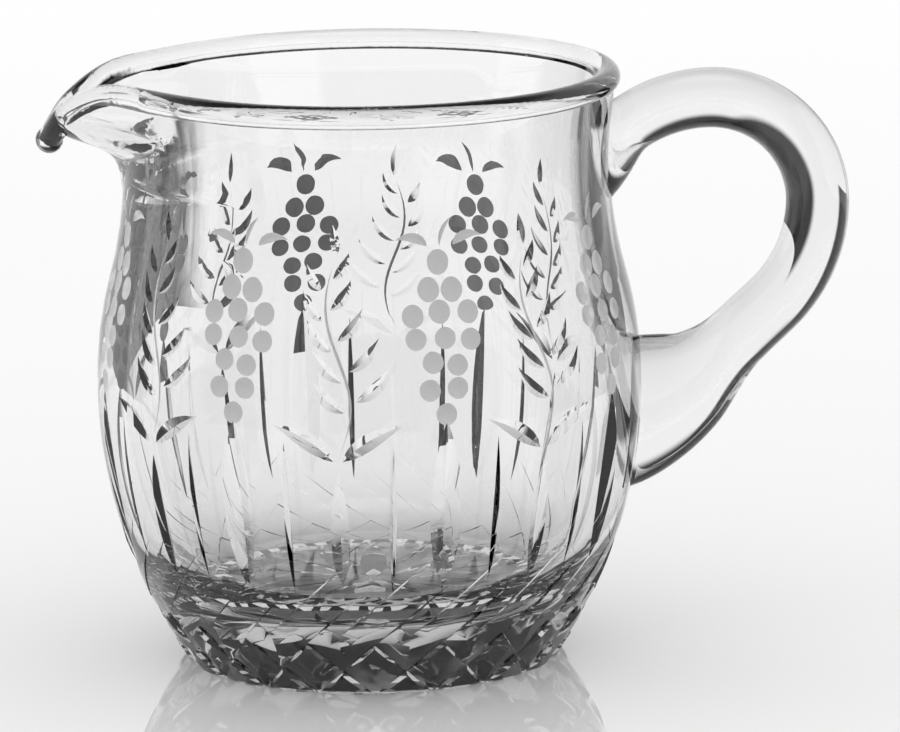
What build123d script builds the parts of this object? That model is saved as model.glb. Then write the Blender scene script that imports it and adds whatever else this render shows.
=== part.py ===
from build123d import *
from math import acos, cos, degrees, pi, radians, sin, sqrt, tan
import os

# A clear cut-glass cream jug with a pulled lip and an applied rod handle.
# Millimetres. Z is up and zero at the foot, the jug's axis is at x = y = 0,
# the lip points to -X and the handle stands on +X.

# Outer form of the blown body
FOOT_RADIUS = 28.3
BELLY_RADIUS = 41.2
BELLY_HEIGHT = 42.0
NECK_RADIUS = 36.6
NECK_HEIGHT = 76.0
RIM_HEIGHT = 90.0
RIM_BEAD = 3.6

# Walls and base
NECK_WALL = 3.2
BELLY_WALL = 4.2
FLOOR_WALL = 5.5
BASE_THICKNESS = 12.0
CAVITY_CORNER = 13.0

# Pulled lip: how far its tip reaches, and how its rim droops over the last run
LIP_REACH = 49.4
LIP_RUN = 16.0
LIP_DROOP = 8.7
LIP_DROOP_POWER = 3.4
LIP_SHELF = 1.5
LIP_TIP_RADIUS = 4.6
LIP_INSET = 0.3
LIP_DRIP = 2.1

# Level sections of the lip, outside and inside: height over the underside's shelf,
# reach beyond the wall of the neck, and rounding of the nose
LIP_OUTSIDE = [
    (-16.0, 0.0, 22.0),
    (-9.0, 0.2, 18.0),
    (-4.0, 1.6, 12.0),
    (-2.0, 5.2, 7.5),
    (0.0, 10.2, 5.2),
    (3.0, 12.4, LIP_TIP_RADIUS),
    (10.0, 12.8, LIP_TIP_RADIUS),
]
LIP_INSIDE = [
    (-9.0, 0.0, 20.0),
    (-5.0, 0.6, 16.0),
    (-2.0, 3.2, 11.0),
    (0.3, 7.4, 6.5),
    (2.1, 11.6, 4.2),
    (4.5, 13.2, 3.2),
    (10.0, 13.8, 3.2),
]

# Diamond lattice round the foot, cut with a V-edged wheel
DIAMONDS = 20
LATTICE_TURN = -89.0
LATTICE_MIDDLE = 8.6
LATTICE_TOP = 18.9
MITRE_START = -0.5
MITRE_HALFWAY = 2
MITRE_DEPTH = 0.65
MITRE_ANGLE = 110.0

# Pointed flutes above the lattice: width and height of the point
FLUTE_REPEATS = 8
FLUTE_TURN = -96.0
FLUTE_FOOT = 17.0
TALL_FLUTE_WIDTH = 5.2
TALL_FLUTE_TIP = 44.0
MIDDLE_FLUTE_WIDTH = 3.0
MIDDLE_FLUTE_TIP = 36.5
NARROW_FLUTE_WIDTH = 1.0
NARROW_FLUTE_TIP = 41.0

# Star cut in the recess under the base
STAR_RAYS = 16
STAR_CENTRE = 1.6
STAR_REACH = 24.2
STAR_RAY_WIDTH = 4.3
STAR_DEPTH = 1.2
RECESS_RADIUS = 25.4
RECESS_DEPTH = 0.8

# Rod handle: its centre line's turning points, its thickness and its flared seats
HANDLE_ROOT_HEIGHT = 74.5
HANDLE_APEX = (52.0, 84.6)
HANDLE_OUTER = (67.9, 69.0)
HANDLE_RETURN = (60.7, 52.6)
HANDLE_ELBOW = (50.0, 42.2)
HANDLE_SEAT_HEIGHT = 36.4
ROD_AT_TOP = 8.7
ROD_AT_FOOT = 10.4
ROD_SEAT_WIDTH = 11.0
UPPER_SEAT = 17.0
UPPER_FLARE = 9.0
LOWER_SEAT = 23.4
LOWER_FLARE = 22.0
HANDLE_SECTIONS = 13
HANDLE_INSERT = 3.0
HANDLE_ROOM = 14.0

# Steps along the droop and round the rim, and the rim's line near the tip
TRIM_STEPS = 6
BEAD_STEPS = 8
LIP_SIDE_SHARES = (0.3, 0.6, 0.85)
LIP_TIP_DIRECTION = (-0.35, -0.72, -0.6)
LIP_ROOM = 6.0

# Cutting tools: how far they run past the glass, and how far their V opens
TOOL_CLEARANCE = 2.0
TOOL_HEIGHT = 3.0

os.makedirs("parts", exist_ok=True)


def lower_bend():
    """Radius of the arc from the foot to the belly, which is upright at the belly."""
    rise = BELLY_HEIGHT
    spread = BELLY_RADIUS - FOOT_RADIUS
    return (rise**2 + spread**2) / (2 * spread)


def neck_bend():
    """Radius of the two equal arcs that lead from the belly in to the neck."""
    rise = NECK_HEIGHT - BELLY_HEIGHT
    step = BELLY_RADIUS - NECK_RADIUS
    return (rise**2 + step**2) / (4 * step)


def outer_radius(height):
    """Radius of the uncut body at a height from the foot to the belly."""
    bend = lower_bend()
    return BELLY_RADIUS - bend + sqrt(bend**2 - (BELLY_HEIGHT - height) ** 2)


def neck_radius(height):
    """Radius of the body at a height near the neck and the rim."""
    bend = neck_bend()
    return NECK_RADIUS + bend - sqrt(bend**2 - (height - NECK_HEIGHT) ** 2)


def on_body(height, turn, depth=0.0):
    """Point of the lower body at a height and an angle, sunk in by a depth."""
    radius = outer_radius(height) - depth
    return Vector(radius * cos(radians(turn)), radius * sin(radians(turn)), height)


# The body's outer form, filled, before any cutting
shoulder = ((BELLY_RADIUS + NECK_RADIUS) / 2, (BELLY_HEIGHT + NECK_HEIGHT) / 2)
belly = (BELLY_RADIUS, BELLY_HEIGHT)
neck = (NECK_RADIUS, NECK_HEIGHT)
foot = (FOOT_RADIUS, 0)
rim = (neck_radius(RIM_HEIGHT), RIM_HEIGHT)

with BuildPart() as turned:
    with BuildSketch(Plane.XZ):
        with BuildLine():
            Line((0, 0), foot)
            TangentArc(belly, foot, tangent=(0, -1))
            TangentArc(belly, shoulder, tangent=(0, 1))
            TangentArc(neck, shoulder, tangent=(0, -1))
            TangentArc(neck, rim, tangent=(0, 1))
            Line(rim, (0, RIM_HEIGHT))
            Line((0, RIM_HEIGHT), (0, 0))
        make_face()
    revolve(axis=Axis.Z)


def lip_outline(height, round_radius, reach, tip_radius):
    """Egg-shaped level section: a round body drawn out to a rounded nose at -X."""
    with BuildSketch(Plane.XY.offset(height)) as outline:
        Circle(round_radius)
        with Locations((tip_radius - reach, 0)):
            Circle(tip_radius)
        make_hull()
    return outline.sketch


def rim_height(reach):
    """Height of the rim bead's centre at a distance towards -X: level, then drooping."""
    share = max(0.0, (reach - lip_start) / LIP_RUN)
    return RIM_HEIGHT - bead_radius - LIP_DROOP * share**LIP_DROOP_POWER


def lip_loft(levels, round_radius_at, inner_neck_radius):
    """Solid through egg-shaped levels that leave a round wall and run out as a lip."""
    with BuildPart() as form:
        for rise, beyond, tip_radius in levels:
            height = lip_shelf + rise
            round_radius = round_radius_at(height) - LIP_INSET
            reach = max(inner_neck_radius, round_radius + LIP_INSET / 2) + beyond
            add(lip_outline(height, round_radius, reach, tip_radius))
        loft()
    return form.part


# The lip ends in the rim's bead, and its underside runs out just above the tip
bead_radius = RIM_BEAD / 2
lip_end = LIP_REACH - bead_radius
lip_start = lip_end - LIP_RUN
lip_shelf = rim_height(lip_end) + LIP_SHELF
lip = lip_loft(LIP_OUTSIDE, neck_radius, NECK_RADIUS)

# Everything above the middle of the rim, which is level and then droops along the lip
trim_reaches = [lip_start + LIP_RUN * number / TRIM_STEPS for number in range(TRIM_STEPS + 1)]
trim_points = [(-reach, rim_height(reach)) for reach in trim_reaches]
trim_slope = LIP_DROOP * LIP_DROOP_POWER / LIP_RUN
trim_end = (-lip_end - LIP_ROOM, trim_points[-1][1] - LIP_ROOM)
trim_top = RIM_HEIGHT + LIP_ROOM
trim_back = BELLY_RADIUS + TOOL_CLEARANCE

with BuildPart() as rim_trim:
    with BuildSketch(Plane.XZ):
        with BuildLine():
            Line((trim_back, trim_points[0][1]), trim_points[0])
            Spline(*trim_points, tangents=((-1, 0), (-1, -trim_slope)))
            Line(trim_points[-1], trim_end)
            Line(trim_end, (trim_end[0], trim_top))
            Line((trim_end[0], trim_top), (trim_back, trim_top))
            Line((trim_back, trim_top), (trim_back, trim_points[0][1]))
        make_face()
    extrude(amount=trim_back, both=True)

with BuildPart() as outer_form:
    add(turned.part)
    add(lip)
    add(rim_trim.part, mode=Mode.SUBTRACT)

# The hollow: a turned cavity, and a channel that runs out along the lip
inner_belly = (BELLY_RADIUS - BELLY_WALL, BELLY_HEIGHT)
inner_neck = (NECK_RADIUS - NECK_WALL, NECK_HEIGHT)
inner_shoulder = (
    (inner_belly[0] + inner_neck[0]) / 2,
    (inner_belly[1] + inner_neck[1]) / 2,
)
inner_rim = (neck_radius(RIM_HEIGHT) - NECK_WALL, RIM_HEIGHT)
floor_edge = (outer_radius(BASE_THICKNESS) - FLOOR_WALL, BASE_THICKNESS)

with BuildPart() as cavity:
    with BuildSketch(Plane.XZ) as hollow:
        with BuildLine():
            Line((0, BASE_THICKNESS), floor_edge)
            TangentArc(inner_belly, floor_edge, tangent=(0, -1))
            TangentArc(inner_belly, inner_shoulder, tangent=(0, 1))
            TangentArc(inner_neck, inner_shoulder, tangent=(0, -1))
            TangentArc(inner_neck, inner_rim, tangent=(0, 1))
            Line(inner_rim, (inner_rim[0], RIM_HEIGHT + TOOL_CLEARANCE))
            Line((inner_rim[0], RIM_HEIGHT + TOOL_CLEARANCE), (0, RIM_HEIGHT + TOOL_CLEARANCE))
            Line((0, RIM_HEIGHT + TOOL_CLEARANCE), (0, BASE_THICKNESS))
        make_face()
        corner = hollow.vertices().sort_by_distance(floor_edge)[0]
        fillet(corner, CAVITY_CORNER)
    revolve(axis=Axis.Z)


def inner_round(height):
    """Radius of the round part of the hollow at a height near the neck and the rim."""
    return neck_radius(height) - NECK_WALL


channel = lip_loft(LIP_INSIDE, inner_round, NECK_RADIUS - NECK_WALL)

# Fire-polished bead on the rim. Half of its line runs from the handle's side round
# the mouth and out to the tip: an arc, a straight side of the lip, and the tip.
bead_round = neck_radius(RIM_HEIGHT) - NECK_WALL / 2
nose_round = LIP_TIP_RADIUS - bead_radius
nose_centre = lip_end - nose_round
side_turn = pi - acos((bead_round - nose_round) / nose_centre)
side_start = Vector(cos(side_turn), sin(side_turn)) * bead_round
side_end = Vector(cos(side_turn), sin(side_turn)) * nose_round - Vector(nose_centre, 0)

bead_plan = []
for number in range(BEAD_STEPS + 1):
    turn = side_turn * number / BEAD_STEPS
    bead_plan.append(Vector(cos(turn), sin(turn)) * bead_round)
for share in LIP_SIDE_SHARES:
    bead_plan.append(side_start + (side_end - side_start) * share)
bead_plan.append(Vector(-lip_end, 0))
bead_line = [Vector(point.X, point.Y, rim_height(-point.X)) for point in bead_plan]

with BuildPart() as rim_bead:
    with BuildLine() as half_rim:
        Spline(*bead_line, tangents=((0, 1, 0), LIP_TIP_DIRECTION))
    with BuildSketch(Plane(origin=half_rim.line @ 0, z_dir=half_rim.line % 0)):
        Circle(bead_radius)
    sweep(path=half_rim.line)
    mirror(about=Plane.XZ)
    with Locations(bead_line[-1]):
        Sphere(LIP_DRIP, rotation=(90, 0, 0))


def wheel_cut(start, middle, end, slope, height, opening):
    """V-groove cutter whose edge runs on the arc through three points.

    The slope is half the V's width over its height. The V opens away from the
    arc's centre where opening is -1, and towards it where opening is 1.
    """
    edge = ThreePointArc(start, middle, end)
    centre = edge.arc_center
    turn = degrees(edge.length / edge.radius)
    plane = Plane(origin=start, x_dir=(centre - start) * opening, z_dir=edge % 0)
    with BuildPart() as cutter:
        with BuildSketch(plane):
            with BuildLine():
                Polyline((0, 0), (height, height * slope), (height, -height * slope), close=True)
            make_face()
        revolve(axis=Axis(centre, edge.normal()), revolution_arc=turn)
    return cutter.part


def bar_cut(low, high, width):
    """Straight V cutter laid on the barrel of the body from one point to another.

    The body bulges between the points, so the groove is pointed at both ends.
    """
    along = (high - low).normalized()
    outward = Vector(low.X, low.Y, 0).normalized()
    outward = (outward - along * outward.dot(along)).normalized()
    chord = (low + high) / 2
    bulge = outer_radius(chord.Z) - sqrt(chord.X**2 + chord.Y**2)
    slope = width / 2 / bulge
    plane = Plane(origin=low - along * TOOL_CLEARANCE, x_dir=outward, z_dir=along)
    with BuildPart() as cutter:
        with BuildSketch(plane):
            with BuildLine():
                Polyline(
                    (0, 0),
                    (TOOL_HEIGHT, TOOL_HEIGHT * slope),
                    (TOOL_HEIGHT, -TOOL_HEIGHT * slope),
                    close=True,
                )
            make_face()
        extrude(amount=(high - low).length + 2 * TOOL_CLEARANCE)
    return cutter.part


# One wheel cut of the lattice climbs from below the foot to the lattice's top, and
# crosses the cuts of the other hand once for each half diamond that it goes round
half_diamond = 180 / DIAMONDS
mitre_slope = tan(radians(MITRE_ANGLE / 2))
mitre_foot = on_body(-TOOL_CLEARANCE, MITRE_START * half_diamond, MITRE_DEPTH)
mitre_middle = on_body(LATTICE_MIDDLE, MITRE_HALFWAY * half_diamond, MITRE_DEPTH)
mitre_top = on_body(LATTICE_TOP, 2 * MITRE_HALFWAY * half_diamond, 0)
mitre = wheel_cut(mitre_foot, mitre_middle, mitre_top, mitre_slope, TOOL_HEIGHT, -1)

# Flutes repeat round the body: tall, narrow, middle, narrow
flute_step = 360 / FLUTE_REPEATS / 4
flutes = [
    (0, MIDDLE_FLUTE_WIDTH, MIDDLE_FLUTE_TIP),
    (flute_step, NARROW_FLUTE_WIDTH, NARROW_FLUTE_TIP),
    (2 * flute_step, TALL_FLUTE_WIDTH, TALL_FLUTE_TIP),
    (3 * flute_step, NARROW_FLUTE_WIDTH, NARROW_FLUTE_TIP),
]

# One ray of the star runs out from the middle of the recess under the base
star_middle = Vector((STAR_CENTRE + STAR_REACH) / 2, 0, RECESS_DEPTH + STAR_DEPTH)
star_inner = Vector(STAR_CENTRE, 0, RECESS_DEPTH)
star_outer = Vector(STAR_REACH, 0, RECESS_DEPTH)
star_slope = STAR_RAY_WIDTH / 2 / STAR_DEPTH
star_ray = wheel_cut(star_inner, star_middle, star_outer, star_slope, TOOL_HEIGHT, 1)

with BuildPart() as body:
    add(outer_form.part)
    # Hollow
    add(cavity.part, mode=Mode.SUBTRACT)
    add(channel, mode=Mode.SUBTRACT)
    # Rounded rim and drip bead
    add(rim_bead.part)
    # Recess and star
    with BuildSketch(Plane.XY):
        Circle(RECESS_RADIUS)
    extrude(amount=RECESS_DEPTH, mode=Mode.SUBTRACT)
    with PolarLocations(0, STAR_RAYS):
        add(star_ray, mode=Mode.SUBTRACT)
    # Diamond lattice, one set of cuts each way
    with PolarLocations(0, DIAMONDS, start_angle=LATTICE_TURN):
        add(mitre, mode=Mode.SUBTRACT)
    with PolarLocations(0, DIAMONDS, start_angle=LATTICE_TURN):
        add(mirror(mitre, about=Plane.XZ, mode=Mode.PRIVATE), mode=Mode.SUBTRACT)
    # Pointed flutes, left out where the handle sits
    for offset, width, tip in flutes:
        for repeat in range(FLUTE_REPEATS):
            turn = FLUTE_TURN + offset + repeat * 360 / FLUTE_REPEATS
            from_handle = abs((turn + 180) % 360 - 180)
            if from_handle > HANDLE_ROOM:
                cut = bar_cut(on_body(FLUTE_FOOT, turn), on_body(tip, turn), width)
                add(cut, mode=Mode.SUBTRACT)

# Rod handle: oval sections along a bent centre line, flared at both seats
upper_root = (neck_radius(HANDLE_ROOT_HEIGHT) - HANDLE_INSERT, HANDLE_ROOT_HEIGHT)
lower_root = (outer_radius(HANDLE_SEAT_HEIGHT) - HANDLE_INSERT, HANDLE_SEAT_HEIGHT)
with BuildLine(Plane.XZ) as rod_line:
    TangentArc(HANDLE_APEX, upper_root, tangent=(-1, 0))
    TangentArc(HANDLE_APEX, HANDLE_OUTER, tangent=(1, 0))
    sweep_down = TangentArc(HANDLE_OUTER, HANDLE_RETURN, tangent=(0, -1))
    sweep_in = TangentArc(HANDLE_RETURN, HANDLE_ELBOW, tangent=sweep_down % 1)
    TangentArc(HANDLE_ELBOW, lower_root, tangent=sweep_in % 1)
rod_path = rod_line.wire()


def swell(distance, length):
    """Smooth rise to 1 at a seat, from 0 at a length away from it."""
    nearness = max(0.0, 1 - distance / length)
    return nearness**2 * (3 - 2 * nearness)


def rod_section(share):
    """Plane, width and height of the rod's oval at a share of the way up the handle.

    The ovals turn upright as they swell, so that their ends lie inside the body.
    """
    lower = swell(rod_path.length * share, LOWER_FLARE)
    upper = swell(rod_path.length * (1 - share), UPPER_FLARE)
    rod = ROD_AT_FOOT + (ROD_AT_TOP - ROD_AT_FOOT) * share
    width = rod + (ROD_SEAT_WIDTH - rod) * (lower + upper)
    height = rod + (LOWER_SEAT - rod) * lower + (UPPER_SEAT - rod) * upper
    along = rod_path % share * (1 - lower - upper) + Vector(lower - upper, 0, 0)
    upright = along.cross(Vector(0, 1, 0))
    return Plane(origin=rod_path @ share, x_dir=upright, z_dir=along), width, height


with BuildPart() as handle:
    for number in range(HANDLE_SECTIONS):
        plane, width, height = rod_section((1 - cos(pi * number / (HANDLE_SECTIONS - 1))) / 2)
        with BuildSketch(plane):
            Ellipse(height / 2, width / 2)
    loft()
    add(outer_form.part, mode=Mode.SUBTRACT)
    add(rim_bead.part, mode=Mode.SUBTRACT)

body.part.label = "body"
handle.part.label = "handle"
for piece in (body.part, handle.part):
    export_step(piece, f"parts/{piece.label}.step")
    print(piece.label, "volume", round(piece.volume), "faces", len(piece.faces()), piece.is_valid)
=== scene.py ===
import math

import bmesh
import bpy
import numpy as np
from mathutils import Matrix, Vector


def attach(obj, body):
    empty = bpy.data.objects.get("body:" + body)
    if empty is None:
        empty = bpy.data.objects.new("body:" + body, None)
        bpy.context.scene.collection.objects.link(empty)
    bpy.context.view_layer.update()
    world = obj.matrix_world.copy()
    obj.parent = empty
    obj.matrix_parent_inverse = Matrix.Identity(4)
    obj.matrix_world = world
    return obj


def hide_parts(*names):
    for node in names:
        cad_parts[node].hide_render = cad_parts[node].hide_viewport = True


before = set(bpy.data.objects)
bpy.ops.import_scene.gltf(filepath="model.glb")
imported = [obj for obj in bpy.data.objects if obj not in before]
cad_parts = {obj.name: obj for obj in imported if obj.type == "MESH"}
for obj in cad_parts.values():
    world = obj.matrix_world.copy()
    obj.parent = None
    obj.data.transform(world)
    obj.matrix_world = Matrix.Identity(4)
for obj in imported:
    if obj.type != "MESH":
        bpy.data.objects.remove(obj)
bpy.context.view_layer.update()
scene = bpy.context.scene

# A clear cut-glass cream jug on a pale glossy table, in bright-field studio light.
# Sizes are in millimetres here and become metres when a mesh is made.
MM = 0.001

# Camera: its place, the pitch down, the roll and the lens, for a frame of 900 by 732 pixels
CAMERA_PLACE = Vector((12.2, -1009.4, 253.1)) * MM
CAMERA_PITCH = math.radians(11.71)
CAMERA_ROLL = math.radians(-0.74)
FOCAL_PIXELS = 6807.0
FRAME_WIDTH = 900.0
SENSOR_WIDTH = 36.0
CAMERA_NEAR = 0.05
CAMERA_FAR = 20.0

# Outer form of the body, as in the CAD
FOOT_RADIUS = 28.3
BELLY_RADIUS = 41.2
BELLY_HEIGHT = 42.0
NECK_RADIUS = 36.6
NECK_HEIGHT = 76.0
BEND_REACH = 20.0
LEAST_SQUARE = 1.0
RIM_FLAT = 88.1
NECK_WALL = 3.2
BELLY_WALL = 4.2
FLOOR_WALL = 5.5
BASE_THICKNESS = 12.0
CAVITY_ROUND_TOP = 24.0
LIP_ROOT = 64.0
LIP_SECTOR = 18.0
RIM_ROOT = 73.0

# Shading of the body: creases in degrees, and what counts as its turned surface
RIM_CREASE = 20.0
CUT_CREASE = 10.0
HANDLE_CREASE = 30.0
SURFACE_NEAR = 0.05
SURFACE_LEAN = 13.0
SLOPE_STEP = 0.05
FOOT_EDGE = 0.05
SPOT_STEP = 0.1
SAME_POINT = 1e-6
SAME_RUN = 1e-9

# Rod handle, as in the CAD: turning points of its centre line in X and Z
HANDLE_ROOT_HEIGHT = 74.5
HANDLE_APEX = (52.0, 84.6)
HANDLE_OUTER = (67.9, 69.0)
HANDLE_RETURN = (60.7, 52.6)
HANDLE_ELBOW = (50.0, 42.2)
HANDLE_SEAT_HEIGHT = 36.4
HANDLE_INSERT = 3.0
ROD_AT_TOP = 8.7
ROD_AT_FOOT = 10.4
ROD_SEAT_WIDTH = 11.0
UPPER_SEAT = 17.0
UPPER_FLARE = 9.0
LOWER_SEAT = 23.4
LOWER_FLARE = 22.0
ROD_RINGS = 120
ROD_SIDES = 56
ARC_STEPS = 60
TRIM_BOTTOM = 14.0
TRIM_TOP = 91.0
TRIM_STEP = 1.0
TRIM_SIDES = 360

# Cut sprays of leaves and bunches of matt berries between them
SPRAYS = 8
SPRAY_TURN = -96.0
SPRAY_FOOT = 38.6
HANDLE_TURN_ROOM = 20.0
SPRAY_RADIUS = 40.0
STEM_HEIGHT = 29.0
STEM_SWAY = 1.9
STEM_WAVE = 15.0
STEM_STEPS = 20
STEM_CUT = (0.55, 0.2)
STEM_BELLY = 1.0
FOOT_LEAF_START = (0.6, -0.4)
FOOT_LEAF_ANGLE = 52.0
FOOT_LEAF_LENGTH = 10.5
FOOT_LEAF_BEND = 14.0
FOOT_LEAF_CUT = (2.7, 0.55)
SIDE_LEAVES = 5
SIDE_LEAF_RISE = 6.5
SIDE_LEAF_SPACING = 4.4
SIDE_LEAF_STAGGER = 1.6
SIDE_LEAF_START = (0.7, 0.4)
SIDE_LEAF_ANGLE = 56.0
SIDE_LEAF_CLOSING = 3.0
SIDE_LEAF_LENGTH = 7.6
SIDE_LEAF_SHORTENING = 0.75
SIDE_LEAF_BEND = -22.0
SIDE_LEAF_CUT = (2.05, 0.45)
SIDE_LEAF_NARROWING = 0.14
TIP_LEAF_RISE = 29.4
TIP_LEAF_ANGLE = -8.0
TIP_LEAF_LENGTH = 4.8
TIP_LEAF_CUT = (1.5, 0.38)
LEAF_STEPS = 8

BUNCH_TOP = 66.5
BUNCH_ROWS = (1, 2, 3, 3, 2, 2, 1)
BERRY_SPACING = 4.1
BERRY_ROW_RISE = 0.87
BERRY_SHIFT_EAST = 0.35
BERRY_SHIFT_NORTH = 0.3
BERRY_PHASE_EAST = (2.1, 1.3)
BERRY_PHASE_NORTH = (1.7, 2.3)
BERRY_RADIUS = 1.78
BERRY_DEPTH = 0.24
BUNCH_STEM_START = (0.4, 2.4)
BUNCH_STEM_ANGLE = 12.0
BUNCH_STEM_LENGTH = 5.0
BUNCH_STEM_BEND = 30.0
BUNCH_STEM_CUT = (0.7, 0.2)
BUNCH_LEAF_STARTS = ((-1, -1.6), (1, 2.6))
BUNCH_LEAF_RISE = 2.6
BUNCH_LEAF_ANGLE = 58.0
BUNCH_LEAF_LENGTH = 5.2
BUNCH_LEAF_BEND = 40.0
BUNCH_LEAF_CUT = (1.5, 0.3)

# Cutting tools: how far they stand out of the glass, and how fine their meshes are
TOOL_LIFT = 0.5
GROOVE_POINT = 0.015
GROOVE_BELLY = 0.8
DISH_SIDES = 20
DISH_RINGS = 4
DISH_OVERLAP = 1.12
DISH_LID = 0.4

# Glass
GLASS_IOR = 1.54
GLASS_DENSITY = 10.0
WHITE = (1.0, 1.0, 1.0, 1.0)
BLACK = (0.0, 0.0, 0.0, 1.0)
POLISH_ROUGHNESS = 0.004
POLISH_CLEARNESS = 1.0
POLISH_WAVES = (45.0, 0.00003, 1.0)
MATT_ROUGHNESS = 0.12
MATT_CLEARNESS = 0.5
MATT_GRAIN = (2500.0, 0.00002, 3.0)

# Table, in metres
TABLE_HALF = 6.0
# Painted shade: the table's colour is darker round the object and fades to white further out, in
# metres from its middle
TABLE_PAINTED_SHADE = (0.93, 0.93, 0.93, 1)
TABLE_PAINTED_SHADE_SPREAD = (0.15, 0.75)
TABLE_CLOUD_SCALE = 9.0
TABLE_CLOUD_DETAIL = 5.0
TABLE_CLOUD_RANGE = (0.3, 0.7)
TABLE_CLOUD_LEVEL = 0.02
TABLE_ROUGHNESS = 0.03
TABLE_IOR = 1.5

# Studio: flags round the object that only light through the glass sees
FLAG_RADIUS = 225.0
FLAG_BOTTOM = 1.0
FLAG_HEIGHT = 420.0
FLAG_STEPS = 96
FLAG_BLACK = (0.012, 0.012, 0.012, 1)
BRIGHT_GAPS = ((5.0, 17.0), (135.0, 17.0), (-90.0, 14.0))
GAP_SOFTNESS = 6.0
# World: upward share of a direction at which it darkens, fully dark, and its level there
GLOSSY_DARK = (0.55, 0.8, 0.25)
THROUGH_DARK = (0.2, 0.4, 0.02)
OVERHEAD_LIGHT = (0.94, 0.98)
OVERHEAD_LEVEL = 1.3
LIGHT_BOUNCES = 24


def add_camera():
    data = bpy.data.cameras.new("camera")
    data.sensor_width = SENSOR_WIDTH
    data.lens = FOCAL_PIXELS * SENSOR_WIDTH / FRAME_WIDTH
    data.clip_start = CAMERA_NEAR
    data.clip_end = CAMERA_FAR
    camera = bpy.data.objects.new("camera", data)
    scene.collection.objects.link(camera)
    tilt = Matrix.Rotation(math.radians(90) - CAMERA_PITCH, 4, "X")
    roll = Matrix.Rotation(CAMERA_ROLL, 4, "Z")
    camera.matrix_world = Matrix.Translation(CAMERA_PLACE) @ tilt @ roll
    scene.camera = camera


# Profile of the body


def ogee_bend(wide, narrow):
    rise = NECK_HEIGHT - BELLY_HEIGHT
    return (rise**2 + (wide - narrow) ** 2) / (4 * (wide - narrow))


def profile(height, belly, neck, low_bend):
    """Radius of a turned surface at an array of heights, from its belly and neck radius."""
    bend = ogee_bend(belly, neck)
    middle = (BELLY_HEIGHT + NECK_HEIGHT) / 2
    drop = BELLY_HEIGHT - height
    low = belly - low_bend + np.sqrt(np.maximum(low_bend**2 - drop**2, LEAST_SQUARE))
    rise = np.clip(height - BELLY_HEIGHT, 0, BEND_REACH)
    shoulder = belly - bend + np.sqrt(bend**2 - rise**2)
    fall = np.clip(height - NECK_HEIGHT, -BEND_REACH, BEND_REACH)
    waist = neck + bend - np.sqrt(bend**2 - fall**2)
    return np.where(height < BELLY_HEIGHT, low, np.where(height < middle, shoulder, waist))


def foot_bend(belly, foot, rise):
    return (rise**2 + (belly - foot) ** 2) / (2 * (belly - foot))


OUTER_FOOT_BEND = foot_bend(BELLY_RADIUS, FOOT_RADIUS, BELLY_HEIGHT)


def outer_profile(height):
    return profile(height, BELLY_RADIUS, NECK_RADIUS, OUTER_FOOT_BEND)


INNER_BELLY = BELLY_RADIUS - BELLY_WALL
INNER_NECK = NECK_RADIUS - NECK_WALL


def inner_profile(height):
    floor_radius = outer_profile(np.array(BASE_THICKNESS)) - FLOOR_WALL
    low_bend = foot_bend(INNER_BELLY, floor_radius, BELLY_HEIGHT - BASE_THICKNESS)
    return profile(height, INNER_BELLY, INNER_NECK, low_bend)


def turned_normals(points, radius_at, sign):
    """Normals of a turned surface at points, in the sense of its outside for sign 1."""
    radius = np.hypot(points[:, 0], points[:, 1])
    above = radius_at(points[:, 2] + SLOPE_STEP)
    below = radius_at(points[:, 2] - SLOPE_STEP)
    slope = (above - below) / (2 * SLOPE_STEP)
    out = np.stack([points[:, 0] / radius, points[:, 1] / radius, -slope], axis=1)
    return sign * out / np.linalg.norm(out, axis=1, keepdims=True)


def mark_creases(mesh):
    """Marks the edges of the cuts as sharp, and leaves the pressed rim and lip smooth."""
    shape = bmesh.new()
    shape.from_mesh(mesh)
    for face in shape.faces:
        face.smooth = True
    for edge in shape.edges:
        middle = (edge.verts[0].co + edge.verts[1].co) / (2 * MM)
        rim = middle.z > RIM_ROOT or (middle.z > LIP_ROOT and middle.x < -LIP_SECTOR)
        crease = RIM_CREASE if rim else CUT_CREASE
        edge.smooth = edge.calc_face_angle(0.0) < math.radians(crease)
    shape.to_mesh(mesh)
    shape.free()


def corner_arrays(mesh):
    """Normal, place in millimetres and face normal of each face corner of a mesh."""
    count = len(mesh.loops)
    normals = np.zeros(count * 3)
    mesh.corner_normals.foreach_get("vector", normals)
    normals = normals.reshape(-1, 3)
    corner_vertex = np.zeros(count, int)
    mesh.loops.foreach_get("vertex_index", corner_vertex)
    points = np.zeros(len(mesh.vertices) * 3)
    mesh.vertices.foreach_get("co", points)
    points = points.reshape(-1, 3)[corner_vertex] / MM
    face_normals = np.zeros(len(mesh.polygons) * 3)
    mesh.polygons.foreach_get("normal", face_normals)
    sizes = np.zeros(len(mesh.polygons), int)
    mesh.polygons.foreach_get("loop_total", sizes)
    facing = np.repeat(face_normals.reshape(-1, 3), sizes, axis=0)
    return normals, points, facing


def polish_normals(mesh):
    """True normals on the turned surfaces, and sharp edges where the cuts meet them."""
    mark_creases(mesh)
    normals, points, facing = corner_arrays(mesh)
    radius = np.hypot(points[:, 0], points[:, 1])
    height = points[:, 2]
    round_part = (height < LIP_ROOT) | (points[:, 0] > -LIP_SECTOR)
    round_part &= (height < RIM_FLAT) & (height > FOOT_EDGE)
    outside = (outer_profile, 1, FOOT_EDGE)
    inside = (inner_profile, -1, CAVITY_ROUND_TOP)
    for radius_at, sign, low in (outside, inside):
        true = turned_normals(points, radius_at, sign)
        near = np.abs(radius - radius_at(height)) < SURFACE_NEAR
        agree = np.sum(true * facing, axis=1) > math.cos(math.radians(SURFACE_LEAN))
        chosen = near & agree & round_part & (height > low)
        normals[chosen] = true[chosen]
    mesh.normals_split_custom_set([tuple(normal) for normal in normals])


# Materials


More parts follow.
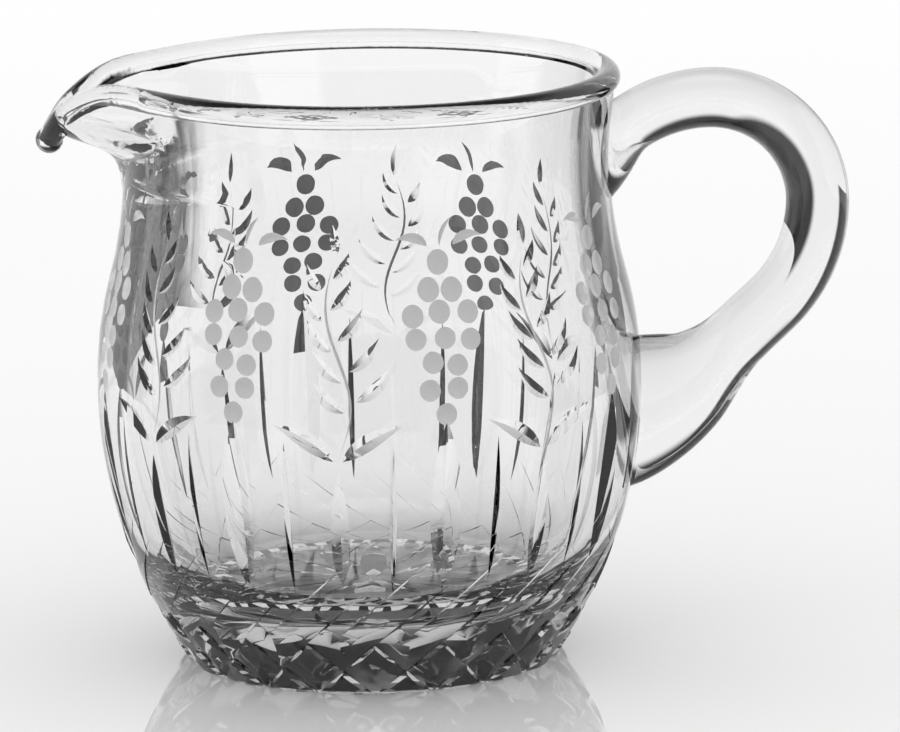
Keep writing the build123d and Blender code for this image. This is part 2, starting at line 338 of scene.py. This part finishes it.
def node_material(name):
    material = bpy.data.materials.new(name)
    material.use_nodes = True
    nodes = material.node_tree.nodes
    nodes.clear()
    output = nodes.new("ShaderNodeOutputMaterial")
    return material, nodes, material.node_tree.links, output


def add_bump(nodes, links, scale, height, detail):
    """Bump from a noise of the given scale in 1/m and height in metres."""
    place = nodes.new("ShaderNodeTexCoord")
    noise = nodes.new("ShaderNodeTexNoise")
    noise.inputs["Scale"].default_value = scale
    noise.inputs["Detail"].default_value = detail
    bump = nodes.new("ShaderNodeBump")
    bump.inputs["Strength"].default_value = 1.0
    bump.inputs["Distance"].default_value = height
    links.new(place.outputs["Object"], noise.inputs["Vector"])
    links.new(noise.outputs["Fac"], bump.inputs["Height"])
    return bump


def glass_material(name, roughness, clearness, waves):
    """Absorbing glass; a matt one, seen from inside, passes on the light from outside."""
    material, nodes, links, output = node_material(name)
    glass = nodes.new("ShaderNodeBsdfPrincipled")
    glass.inputs["Base Color"].default_value = WHITE
    glass.inputs["IOR"].default_value = GLASS_IOR
    glass.inputs["Transmission Weight"].default_value = clearness
    glass.inputs["Roughness"].default_value = roughness
    bump = add_bump(nodes, links, *waves)
    links.new(bump.outputs["Normal"], glass.inputs["Normal"])
    absorb = nodes.new("ShaderNodeVolumeAbsorption")
    absorb.inputs["Color"].default_value = BLACK
    absorb.inputs["Density"].default_value = GLASS_DENSITY
    if clearness < 1:
        through = nodes.new("ShaderNodeBsdfTranslucent")
        through.inputs["Color"].default_value = WHITE
        mix = nodes.new("ShaderNodeMixShader")
        side = nodes.new("ShaderNodeNewGeometry")
        links.new(side.outputs["Backfacing"], mix.inputs["Fac"])
        links.new(glass.outputs["BSDF"], mix.inputs[1])
        links.new(through.outputs["BSDF"], mix.inputs[2])
        links.new(mix.outputs["Shader"], output.inputs["Surface"])
    else:
        links.new(glass.outputs["BSDF"], output.inputs["Surface"])
    links.new(absorb.outputs["Volume"], output.inputs["Volume"])
    return material


def table_material():
    """Glossy white, with painted shade that darkens it round the object, and faint clouds."""
    material, nodes, links, output = node_material("pale table")
    place = nodes.new("ShaderNodeTexCoord")
    distance = nodes.new("ShaderNodeVectorMath")
    distance.operation = "LENGTH"
    links.new(place.outputs["Object"], distance.inputs[0])
    # Painted shade: darker near the object, fading to white between these distances
    painted_shade_fade = nodes.new("ShaderNodeMapRange")
    painted_shade_fade.interpolation_type = "SMOOTHSTEP"
    painted_shade_fade.inputs["From Min"].default_value = TABLE_PAINTED_SHADE_SPREAD[0]
    painted_shade_fade.inputs["From Max"].default_value = TABLE_PAINTED_SHADE_SPREAD[1]
    links.new(distance.outputs["Value"], painted_shade_fade.inputs["Value"])
    noise = nodes.new("ShaderNodeTexNoise")
    noise.inputs["Scale"].default_value = TABLE_CLOUD_SCALE
    noise.inputs["Detail"].default_value = TABLE_CLOUD_DETAIL
    links.new(place.outputs["Object"], noise.inputs["Vector"])
    cloud = nodes.new("ShaderNodeMapRange")
    cloud.inputs["From Min"].default_value = TABLE_CLOUD_RANGE[0]
    cloud.inputs["From Max"].default_value = TABLE_CLOUD_RANGE[1]
    cloud.inputs["To Min"].default_value = -TABLE_CLOUD_LEVEL
    cloud.inputs["To Max"].default_value = TABLE_CLOUD_LEVEL
    links.new(noise.outputs["Fac"], cloud.inputs["Value"])
    add = nodes.new("ShaderNodeMath")
    links.new(painted_shade_fade.outputs["Result"], add.inputs[0])
    links.new(cloud.outputs["Result"], add.inputs[1])
    colour = nodes.new("ShaderNodeMix")
    colour.data_type = "RGBA"
    colour.inputs["A"].default_value = TABLE_PAINTED_SHADE
    colour.inputs["B"].default_value = WHITE
    links.new(add.outputs["Value"], colour.inputs["Factor"])
    table = nodes.new("ShaderNodeBsdfPrincipled")
    table.inputs["Roughness"].default_value = TABLE_ROUGHNESS
    table.inputs["IOR"].default_value = TABLE_IOR
    links.new(colour.outputs["Result"], table.inputs["Base Color"])
    links.new(table.outputs["BSDF"], output.inputs["Surface"])
    return material


def flag_material():
    """Black where the flags are and clear in the gaps that the views look through."""
    material, nodes, links, output = node_material("studio flag")
    place = nodes.new("ShaderNodeTexCoord")
    parts = nodes.new("ShaderNodeSeparateXYZ")
    links.new(place.outputs["Object"], parts.inputs["Vector"])
    turn = nodes.new("ShaderNodeMath")
    turn.operation = "ARCTAN2"
    links.new(parts.outputs["X"], turn.inputs[0])
    links.new(parts.outputs["Y"], turn.inputs[1])
    mask = None
    for centre, half_width in BRIGHT_GAPS:
        away = nodes.new("ShaderNodeMath")
        away.operation = "SUBTRACT"
        away.inputs[1].default_value = math.radians(centre)
        links.new(turn.outputs["Value"], away.inputs[0])
        apart = nodes.new("ShaderNodeMath")
        apart.operation = "ABSOLUTE"
        links.new(away.outputs["Value"], apart.inputs[0])
        fade = nodes.new("ShaderNodeMapRange")
        fade.interpolation_type = "SMOOTHSTEP"
        fade.inputs["From Min"].default_value = math.radians(half_width)
        fade.inputs["From Max"].default_value = math.radians(half_width + GAP_SOFTNESS)
        links.new(apart.outputs["Value"], fade.inputs["Value"])
        if mask is None:
            mask = fade.outputs["Result"]
        else:
            both = nodes.new("ShaderNodeMath")
            both.operation = "MULTIPLY"
            links.new(mask, both.inputs[0])
            links.new(fade.outputs["Result"], both.inputs[1])
            mask = both.outputs["Value"]
    clear = nodes.new("ShaderNodeBsdfTransparent")
    black = nodes.new("ShaderNodeEmission")
    black.inputs["Color"].default_value = FLAG_BLACK
    mix = nodes.new("ShaderNodeMixShader")
    links.new(mask, mix.inputs["Fac"])
    links.new(clear.outputs["BSDF"], mix.inputs[1])
    links.new(black.outputs["Emission"], mix.inputs[2])
    links.new(mix.outputs["Shader"], output.inputs["Surface"])
    return material


def world_light():
    """White to the camera and the table; dark overhead to what the glass shows."""
    world = bpy.data.worlds.new("studio")
    world.use_nodes = True
    nodes = world.node_tree.nodes
    links = world.node_tree.links
    background = nodes["Background"]
    background.inputs["Color"].default_value = WHITE
    place = nodes.new("ShaderNodeTexCoord")
    parts = nodes.new("ShaderNodeSeparateXYZ")
    links.new(place.outputs["Generated"], parts.inputs["Vector"])
    path = nodes.new("ShaderNodeLightPath")
    level = None
    for flag, (low, high, dark) in (
        ("Is Glossy Ray", GLOSSY_DARK),
        ("Is Transmission Ray", THROUGH_DARK),
    ):
        ramp = nodes.new("ShaderNodeMapRange")
        ramp.interpolation_type = "SMOOTHSTEP"
        ramp.inputs["From Min"].default_value = low
        ramp.inputs["From Max"].default_value = high
        ramp.inputs["To Min"].default_value = 1.0
        ramp.inputs["To Max"].default_value = dark
        links.new(parts.outputs["Z"], ramp.inputs["Value"])
        overhead = nodes.new("ShaderNodeMapRange")
        overhead.interpolation_type = "SMOOTHSTEP"
        overhead.inputs["From Min"].default_value = OVERHEAD_LIGHT[0]
        overhead.inputs["From Max"].default_value = OVERHEAD_LIGHT[1]
        overhead.inputs["To Max"].default_value = OVERHEAD_LEVEL
        links.new(parts.outputs["Z"], overhead.inputs["Value"])
        brighter = nodes.new("ShaderNodeMath")
        brighter.operation = "MAXIMUM"
        links.new(ramp.outputs["Result"], brighter.inputs[0])
        links.new(overhead.outputs["Result"], brighter.inputs[1])
        choose = nodes.new("ShaderNodeMix")
        choose.data_type = "FLOAT"
        choose.inputs["A"].default_value = 1.0
        links.new(path.outputs[flag], choose.inputs["Factor"])
        if level is not None:
            links.new(level, choose.inputs["A"])
        links.new(brighter.outputs["Value"], choose.inputs["B"])
        level = choose.outputs["Result"]
    links.new(level, background.inputs["Strength"])
    scene.world = world


# Pieces


def cad_copy(node, name):
    """New mesh object from a CAD node's mesh, with its doubled vertices joined."""
    shape = bmesh.new()
    shape.from_mesh(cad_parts[node].data)
    bmesh.ops.remove_doubles(shape, verts=shape.verts, dist=SAME_POINT)
    mesh = bpy.data.meshes.new(name)
    shape.to_mesh(mesh)
    shape.free()
    mesh.materials.clear()
    piece = bpy.data.objects.new(name, mesh)
    scene.collection.objects.link(piece)
    return piece


def mesh_object(name, points, faces, material=None):
    mesh = bpy.data.meshes.new(name)
    mesh.from_pydata([Vector(point) * MM for point in points], [], faces)
    shape = bmesh.new()
    shape.from_mesh(mesh)
    bmesh.ops.recalc_face_normals(shape, faces=shape.faces)
    shape.to_mesh(mesh)
    shape.free()
    if material is not None:
        mesh.materials.append(material)
    made = bpy.data.objects.new(name, mesh)
    scene.collection.objects.link(made)
    return made


def cut_with(piece, cutters):
    """Subtracts closed cutter objects from a piece, and keeps their materials on the cuts."""
    for number, cutter in enumerate(cutters):
        modifier = piece.modifiers.new(f"cut {number}", "BOOLEAN")
        modifier.operation = "DIFFERENCE"
        modifier.solver = "MANIFOLD"
        modifier.material_mode = "TRANSFER"
        modifier.object = cutter
    bpy.context.view_layer.update()
    graph = bpy.context.evaluated_depsgraph_get()
    result = bpy.data.meshes.new_from_object(piece.evaluated_get(graph))
    piece.modifiers.clear()
    piece.data = result
    for cutter in cutters:
        bpy.data.objects.remove(cutter)


# Sprays and berries, laid out on the barrel in millimetres round it (east) and up it (north)


def spot(turn, east, height):
    """Point on the barrel, and its outward, eastward and upward directions."""
    angle = math.radians(turn) + east / SPRAY_RADIUS
    radius = float(outer_profile(np.array(height)))
    above = outer_profile(np.array(height + SPOT_STEP))
    below = outer_profile(np.array(height - SPOT_STEP))
    slope = float(above - below) / (2 * SPOT_STEP)
    outward = Vector((math.cos(angle), math.sin(angle), -slope)).normalized()
    eastward = Vector((-math.sin(angle), math.cos(angle), 0))
    point = Vector((radius * math.cos(angle), radius * math.sin(angle), height))
    return point, outward, eastward, outward.cross(eastward)


class Cutter:
    """Collects the closed solids of one cutting wheel."""

    def __init__(self, name, material):
        self.name = name
        self.material = material
        self.points = []
        self.faces = []

    def groove(self, turn, line, width, depth, belly=GROOVE_BELLY):
        """V-cut along points (east, height), pointed at both ends."""
        slope = width / 2 / depth
        first = len(self.points)
        last = len(line) - 1
        for number, (east, height) in enumerate(line):
            point, outward, eastward, north = spot(turn, east, height)
            before = line[max(0, number - 1)]
            after = line[min(last, number + 1)]
            ahead = eastward * (after[0] - before[0]) + north * (after[1] - before[1])
            side = ahead.cross(outward).normalized()
            share = (number / last) ** belly
            sink = depth * max(0.0, math.sin(math.pi * share)) - GROOVE_POINT
            half = (sink + TOOL_LIFT) * slope
            self.points.append(point - outward * sink)
            self.points.append(point + outward * TOOL_LIFT + side * half)
            self.points.append(point + outward * TOOL_LIFT - side * half)
        for number in range(last):
            a = first + 3 * number
            b = a + 3
            self.faces.append((a, b, b + 1, a + 1))
            self.faces.append((a + 1, b + 1, b + 2, a + 2))
            self.faces.append((a + 2, b + 2, b, a))
        end = first + 3 * last
        self.faces += [(first, first + 1, first + 2), (end + 2, end + 1, end)]

    def dish(self, turn, east, height, radius, depth):
        """Shallow round hollow, such as a berry."""
        point, outward, eastward, north = spot(turn, east, height)
        ball = (radius**2 + depth**2) / (2 * depth)
        first = len(self.points)
        self.points.append(point - outward * depth)
        top = math.asin(min(1.0, radius * DISH_OVERLAP / ball))
        for ring in range(1, DISH_RINGS + 1):
            lean = top * ring / DISH_RINGS
            rise = ball - depth - ball * math.cos(lean)
            for number in range(DISH_SIDES):
                angle = 2 * math.pi * number / DISH_SIDES
                out = eastward * math.cos(angle) + north * math.sin(angle)
                self.points.append(point + outward * rise + out * ball * math.sin(lean))
        self.points.append(point + outward * (TOOL_LIFT + DISH_LID))
        lid = len(self.points) - 1
        for number in range(DISH_SIDES):
            after = (number + 1) % DISH_SIDES
            self.faces.append((first, first + 1 + number, first + 1 + after))
            for ring in range(DISH_RINGS - 1):
                low = first + 1 + ring * DISH_SIDES
                high = low + DISH_SIDES
                self.faces.append((low + number, high + number, high + after, low + after))
            edge = first + 1 + (DISH_RINGS - 1) * DISH_SIDES
            self.faces.append((edge + number, lid, edge + after))

    def made(self):
        return mesh_object(self.name, self.points, self.faces, self.material)


def bow(start, angle, length, bend):
    """Points of a gently bent line from a start, at an angle from upright in degrees."""
    line = []
    for number in range(LEAF_STEPS + 1):
        share = number / LEAF_STEPS
        heading = math.radians(angle + bend * (share - 0.5))
        east = start[0] + length * share * math.sin(heading)
        height = start[1] + length * share * math.cos(heading)
        line.append((east, height))
    return line


def stem_point(rise):
    """East and height of the spray's stem at a rise above its foot."""
    return STEM_SWAY * math.sin(math.pi * rise / STEM_WAVE), SPRAY_FOOT + rise


def cut_spray(leaves, stems, turn):
    """One spray: a swaying stem, two leaves at its foot, pairs of leaves up it and one at its tip."""
    stem = [stem_point(STEM_HEIGHT * number / STEM_STEPS) for number in range(STEM_STEPS + 1)]
    stems.groove(turn, stem, *STEM_CUT, STEM_BELLY)
    for side in (-1, 1):
        start = (FOOT_LEAF_START[0] * side, SPRAY_FOOT + FOOT_LEAF_START[1])
        leaf = bow(start, FOOT_LEAF_ANGLE * side, FOOT_LEAF_LENGTH, FOOT_LEAF_BEND * side)
        leaves.groove(turn, leaf, *FOOT_LEAF_CUT)
        for number in range(SIDE_LEAVES):
            stagger = SIDE_LEAF_STAGGER if side > 0 else 0
            east, height = stem_point(SIDE_LEAF_RISE + SIDE_LEAF_SPACING * number + stagger)
            start = (east + SIDE_LEAF_START[0] * side, height + SIDE_LEAF_START[1])
            angle = (SIDE_LEAF_ANGLE - SIDE_LEAF_CLOSING * number) * side
            length = SIDE_LEAF_LENGTH - SIDE_LEAF_SHORTENING * number
            width = SIDE_LEAF_CUT[0] - SIDE_LEAF_NARROWING * number
            leaf = bow(start, angle, length, SIDE_LEAF_BEND * side)
            leaves.groove(turn, leaf, width, SIDE_LEAF_CUT[1])
    tip = bow(stem_point(TIP_LEAF_RISE), TIP_LEAF_ANGLE, TIP_LEAF_LENGTH, 0)
    leaves.groove(turn, tip, *TIP_LEAF_CUT)


def berry_place(row, number, count):
    """East and height of a berry, set off a little from its even place in the bunch."""
    shift = math.sin(BERRY_PHASE_EAST[0] * row + BERRY_PHASE_EAST[1] * number)
    east = (number - (count - 1) / 2) * BERRY_SPACING + BERRY_SHIFT_EAST * shift
    shift = math.cos(BERRY_PHASE_NORTH[0] * row + BERRY_PHASE_NORTH[1] * number)
    height = BUNCH_TOP - row * BERRY_SPACING * BERRY_ROW_RISE + BERRY_SHIFT_NORTH * shift
    return east, height


def cut_bunch(berries, stems, turn):
    """One bunch: rows of berries under a short stem with a leaf at each side."""
    for row, count in enumerate(BUNCH_ROWS):
        for number in range(count):
            east, height = berry_place(row, number, count)
            berries.dish(turn, east, height, BERRY_RADIUS, BERRY_DEPTH)
    start = (BUNCH_STEM_START[0], BUNCH_TOP + BUNCH_STEM_START[1])
    stem = bow(start, BUNCH_STEM_ANGLE, BUNCH_STEM_LENGTH, BUNCH_STEM_BEND)
    stems.groove(turn, stem, *BUNCH_STEM_CUT, STEM_BELLY)
    for side, east in BUNCH_LEAF_STARTS:
        start = (east, BUNCH_TOP + BUNCH_LEAF_RISE)
        leaf = bow(start, BUNCH_LEAF_ANGLE * side, BUNCH_LEAF_LENGTH, BUNCH_LEAF_BEND * side)
        stems.groove(turn, leaf, *BUNCH_LEAF_CUT)


def clear_of_handle(turn):
    """The turn within half a circle of the handle, or None where the handle's seat is."""
    turn = (turn + 180) % 360 - 180
    return turn if abs(turn) > HANDLE_TURN_ROOM else None


def cut_ornament(piece, leaf_glass, berry_glass):
    leaves = Cutter("leaf cuts", leaf_glass)
    stems = Cutter("stem cuts", berry_glass)
    berries = Cutter("berry cuts", berry_glass)
    step = 360 / SPRAYS
    for number in range(SPRAYS):
        turn = clear_of_handle(SPRAY_TURN + step * number)
        if turn is not None:
            cut_spray(leaves, stems, turn)
        turn = clear_of_handle(SPRAY_TURN + step * (number + 0.5))
        if turn is not None:
            cut_bunch(berries, stems, turn)
    cut_with(piece, [leaves.made(), stems.made(), berries.made()])


# Rod handle


def arc(start, tangent, end, steps):
    """Points and headings, as complex numbers, of the arc from start along a tangent to end."""
    chord = end - start
    half = np.angle(chord / tangent)
    share = np.linspace(0, 1, steps + 1)
    reach = abs(chord) * np.sin(half * share) / math.sin(half)
    points = start + tangent * np.exp(1j * half * share) * reach
    return points, tangent * np.exp(2j * half * share)


def seat_point(height):
    """Point just inside the body's outer form, as a complex number of X and Z."""
    return complex(float(outer_profile(np.array(height))) - HANDLE_INSERT, height)


def even_values(even, run, values):
    """Complex values along a run, read off at even places."""
    return np.interp(even, run, values.real) + 1j * np.interp(even, run, values.imag)


def rod_line():
    """Evenly spaced points and headings of the handle's centre line, from its lower seat up."""
    apex = complex(*HANDLE_APEX)
    outer = complex(*HANDLE_OUTER)
    back = complex(*HANDLE_RETURN)
    elbow = complex(*HANDLE_ELBOW)
    down = arc(outer, -1j, back, ARC_STEPS)
    inward = arc(back, down[1][-1], elbow, ARC_STEPS)
    seat = arc(elbow, inward[1][-1], seat_point(HANDLE_SEAT_HEIGHT), ARC_STEPS)
    over = arc(apex, 1 + 0j, outer, ARC_STEPS)
    root = arc(apex, -1 + 0j, seat_point(HANDLE_ROOT_HEIGHT), ARC_STEPS)
    backwards = (seat, inward, down, over)
    points = np.concatenate([part[0][::-1] for part in backwards] + [root[0]])
    headings = np.concatenate([-part[1][::-1] for part in backwards] + [root[1]])
    run = np.concatenate([[0], np.cumsum(np.abs(np.diff(points)))])
    even = np.linspace(0, run[-1], ROD_RINGS + 1)
    keep = np.concatenate([[True], np.diff(run) > SAME_RUN])
    line = even_values(even, run[keep], points[keep])
    heading = even_values(even, run[keep], headings[keep])
    return line, heading / np.abs(heading), even


def swell(distance, length):
    """1 at a seat, falling smoothly to 0 at the end of its flare."""
    nearness = max(0.0, 1 - distance / length)
    return nearness**2 * (3 - 2 * nearness)


def tube_faces(rings, sides):
    """Faces between the rings of a tube whose points run ring by ring."""
    faces = []
    for ring in range(rings):
        for number in range(sides):
            after = (number + 1) % sides
            low = ring * sides
            high = low + sides
            faces.append((low + number, low + after, high + after, high + number))
    return faces


def make_handle(material):
    """Tapering oval rod, flared at both seats and trimmed to the body."""
    line, heading, run = rod_line()
    points = []
    for centre, ahead, distance in zip(line, heading, run):
        lower = swell(distance, LOWER_FLARE)
        upper = swell(run[-1] - distance, UPPER_FLARE)
        rod = ROD_AT_FOOT + (ROD_AT_TOP - ROD_AT_FOOT) * distance / run[-1]
        width = rod + (ROD_SEAT_WIDTH - rod) * (lower + upper)
        height = rod + (LOWER_SEAT - rod) * lower + (UPPER_SEAT - rod) * upper
        along = ahead * (1 - lower - upper) + (lower - upper)
        across = along / abs(along) * 1j
        for number in range(ROD_SIDES):
            angle = 2 * math.pi * number / ROD_SIDES
            up = across * math.cos(angle) * height / 2
            side = math.sin(angle) * width / 2
            points.append((centre.real + up.real, side, centre.imag + up.imag))
    faces = tube_faces(ROD_RINGS, ROD_SIDES)
    last = ROD_RINGS * ROD_SIDES
    faces.append(tuple(range(ROD_SIDES)))
    faces.append(tuple(last + number for number in reversed(range(ROD_SIDES))))
    rod = mesh_object("glass_handle", points, faces, material)
    cut_with(rod, [body_form(material)])
    return rod


def body_form(material):
    """Filled turned body, which trims the handle's ends."""
    heights = np.arange(TRIM_BOTTOM, TRIM_TOP, TRIM_STEP)
    points = []
    for height in heights:
        radius = float(outer_profile(height))
        for number in range(TRIM_SIDES):
            angle = 2 * math.pi * number / TRIM_SIDES
            points.append((radius * math.cos(angle), radius * math.sin(angle), height))
    rings = len(heights) - 1
    faces = tube_faces(rings, TRIM_SIDES)
    faces.append(tuple(reversed(range(TRIM_SIDES))))
    faces.append(tuple(rings * TRIM_SIDES + number for number in range(TRIM_SIDES)))
    return mesh_object("body form", points, faces, material)


# Studio


def add_table():
    mesh = bpy.data.meshes.new("table")
    half = TABLE_HALF
    corners = [(-half, -half, 0), (half, -half, 0), (half, half, 0), (-half, half, 0)]
    mesh.from_pydata(corners, [], [(0, 1, 2, 3)])
    mesh.materials.append(table_material())
    table = bpy.data.objects.new("table", mesh)
    scene.collection.objects.link(table)


def add_flags():
    """Ring of flags that only light through the glass sees."""
    points = []
    for number in range(FLAG_STEPS):
        turn = 2 * math.pi * number / FLAG_STEPS
        east = math.cos(turn) * FLAG_RADIUS
        north = math.sin(turn) * FLAG_RADIUS
        for height in (FLAG_BOTTOM, FLAG_HEIGHT):
            points.append(Vector((east, north, height)) * MM)
    faces = []
    for number in range(FLAG_STEPS):
        low = 2 * number
        next_low = 2 * ((number + 1) % FLAG_STEPS)
        faces.append((low, next_low, next_low + 1, low + 1))
    mesh = bpy.data.meshes.new("flags")
    mesh.from_pydata(points, [], faces)
    mesh.materials.append(flag_material())
    flags = bpy.data.objects.new("flags", mesh)
    scene.collection.objects.link(flags)
    flags.visible_camera = False
    flags.visible_diffuse = False
    flags.visible_glossy = False
    flags.visible_shadow = False


add_camera()
world_light()
add_table()
add_flags()

# Build

polished = glass_material("polished glass", POLISH_ROUGHNESS, POLISH_CLEARNESS, POLISH_WAVES)
matt = glass_material("matt glass", MATT_ROUGHNESS, MATT_CLEARNESS, MATT_GRAIN)

body = cad_copy("body", "glass_body")
body.data.materials.append(polished)
cut_ornament(body, polished, matt)
polish_normals(body.data)
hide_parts("body")
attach(body, "root")

handle = make_handle(polished)
handle.data.set_sharp_from_angle(angle=math.radians(HANDLE_CREASE))
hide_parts("handle")
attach(handle, "root")

scene.cycles.max_bounces = LIGHT_BOUNCES
scene.cycles.transmission_bounces = LIGHT_BOUNCES
scene.view_settings.view_transform = "Standard"
